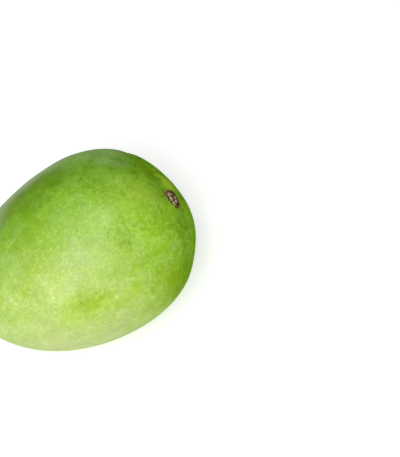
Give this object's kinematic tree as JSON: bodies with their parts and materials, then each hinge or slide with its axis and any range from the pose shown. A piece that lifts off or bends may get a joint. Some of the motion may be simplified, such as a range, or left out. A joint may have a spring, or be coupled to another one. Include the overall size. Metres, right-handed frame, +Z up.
{
  "type": "mango",
  "caption": "Whole green mango, egg-shaped and blunter at the stem end, lying on a small flat spot, with a sunken stem scar.",
  "frame": {"origin": "middle of the small flat spot that the fruit rests on", "axes": "+X level, under the long axis, towards the stem end; +Z up, out of the surface that it rests on; +Y to the left of +X seen from above"},
  "size_m": [0.1043, 0.0829, 0.0815],
  "materials": {
    "mango_skin": "satin"
  },
  "bodies": {
    "root": {"mango": "mango_skin"}
  },
  "joints": []
}
